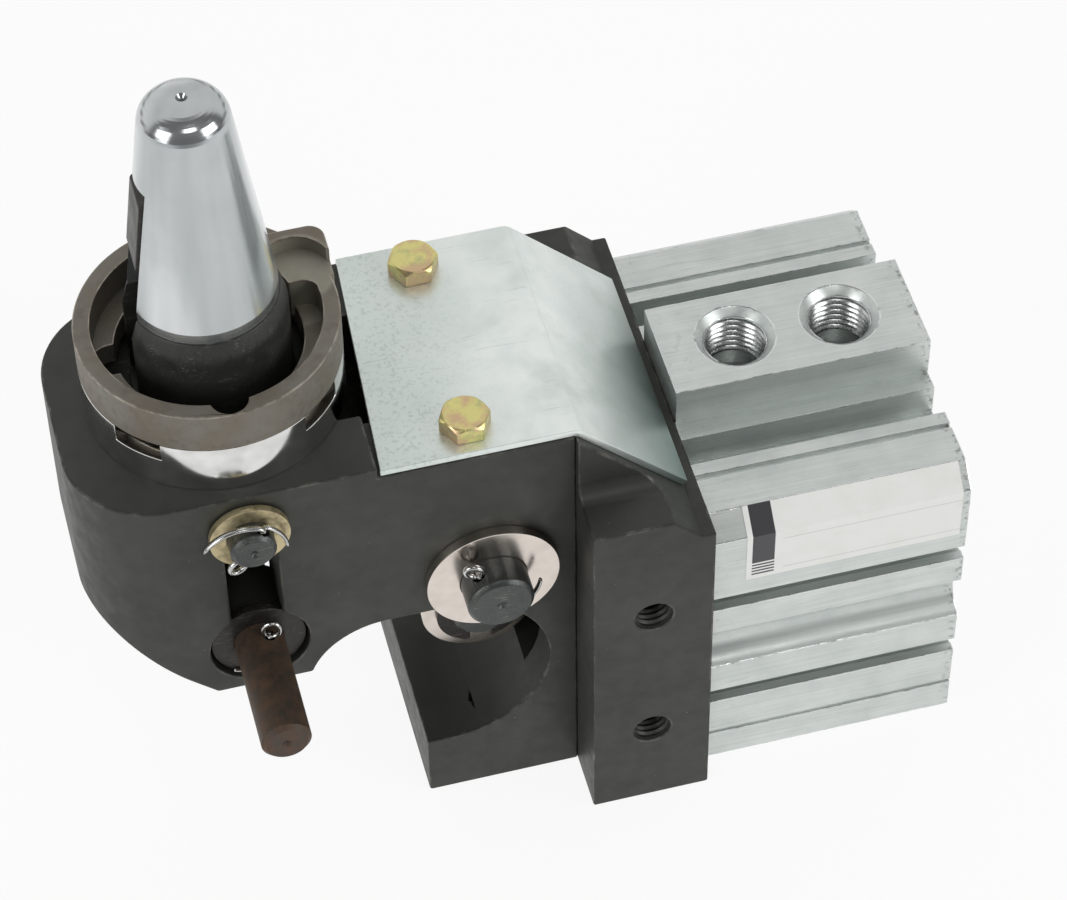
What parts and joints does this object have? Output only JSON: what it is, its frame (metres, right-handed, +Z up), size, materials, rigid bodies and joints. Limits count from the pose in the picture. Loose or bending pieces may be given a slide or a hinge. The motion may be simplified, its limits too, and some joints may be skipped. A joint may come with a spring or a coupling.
{
  "type": "pin clamp cylinder",
  "caption": "Pneumatic pin clamp: a square cylinder turns a bell-crank lever that draws a hook down in a chromed locating pin above a seat ring.",
  "frame": {"origin": "centre of the flange block's bottom face", "axes": "+X from the clamp head to the cylinder, +Y to the back, +Z up along the locating pin"},
  "size_m": [0.1545, 0.0835, 0.1644],
  "materials": {
    "black_oxide_steel": "black oxide, machined, slightly brown at the edges",
    "dark_steel": "blackened steel",
    "dark_pin_steel": "blackened, lightly oiled",
    "dark_turned_steel": "turned and blackened",
    "zinc_plated_sheet": "clear zinc plating with faint stains",
    "yellow_zinc": "yellow passivated zinc",
    "chromed_collar": "polished",
    "hard_chrome": "ground hard chrome",
    "brown_hardened_steel": "hardened, browned",
    "bright_steel": "bright",
    "rusty_pin_steel": "browned with rust",
    "polished_washer": "polished",
    "bronze": "sintered bearing bronze",
    "anodised_aluminium": "satin anodised, drawn along its length",
    "black_rubber": "matt",
    "blank_label": "blank white film"
  },
  "bodies": {
    "frame": {"flange_block": "black_oxide_steel", "body_block": "black_oxide_steel", "body_screws": "dark_steel", "cover_plate": "zinc_plated_sheet", "cover_bolts": "yellow_zinc", "collar_ring": "chromed_collar", "seat_ring": "brown_hardened_steel", "pin_base": "dark_turned_steel", "base_screws": "dark_steel", "locating_pin": "hard_chrome", "hook_cam_pin": "bright_steel", "guide_pin": "rusty_pin_steel", "guide_pin_washers": "dark_pin_steel", "guide_pin_cotters": "bright_steel", "pivot_pin": "dark_pin_steel", "pivot_washers": "polished_washer", "pivot_cotters": "bright_steel", "barrel": "anodised_aluminium", "barrel_screws": "dark_steel", "front_cover": "anodised_aluminium", "rod_bush": "bronze", "rod_seal": "black_rubber", "end_cover": "anodised_aluminium", "retaining_ring": "dark_steel", "cover_seals": "black_rubber", "bumpers": "black_rubber", "label": "blank_label"},
    "rod": {"rod_end": "dark_steel", "rod_end_pin": "bright_steel", "rod_pin": "bright_steel", "rod_pin_washers": "polished_washer", "rod_pin_clips": "dark_steel", "piston_rod": "hard_chrome", "piston": "anodised_aluminium", "piston_nut": "bright_steel", "piston_seal": "black_rubber", "wear_ring": "bronze"},
    "lever": {"lever": "dark_steel", "lever_bush": "bronze"},
    "hook_rod": {"hook_rod": "dark_steel", "cross_pin": "dark_pin_steel", "cross_pin_washers": "yellow_zinc", "cross_pin_cotters": "bright_steel", "hook_pivot_pin": "bright_steel"},
    "hook": {"hook": "dark_steel"}
  },
  "joints": [
    {"name": "rod_slide", "type": "slide", "parent": "frame", "child": "rod", "axis": [1, 0, 0], "range_m": [0, 0.007]},
    {"name": "lever_swing", "type": "hinge", "parent": "frame", "child": "lever", "pos_m": [-0.0265, 0, 0.0615], "axis": [0, -1, 0], "range_deg": [0, 16.13]},
    {"name": "hook_rod_slide", "type": "slide", "parent": "frame", "child": "hook_rod", "axis": [0, 0, -1], "range_m": [0, 0.014]},
    {"name": "hook_swing", "type": "hinge", "parent": "hook_rod", "child": "hook", "pos_m": [-0.0682, 0, 0.104], "axis": [0, -1, 0], "range_deg": [0, 14]}
  ],
  "couplings": [
    {"joint": "lever_swing", "follows": "rod_slide", "rad_per_m": 40.224},
    {"joint": "hook_rod_slide", "follows": "rod_slide", "ratio": 2},
    {"joint": "hook_swing", "follows": "rod_slide", "rad_per_m": 34.907}
  ]
}
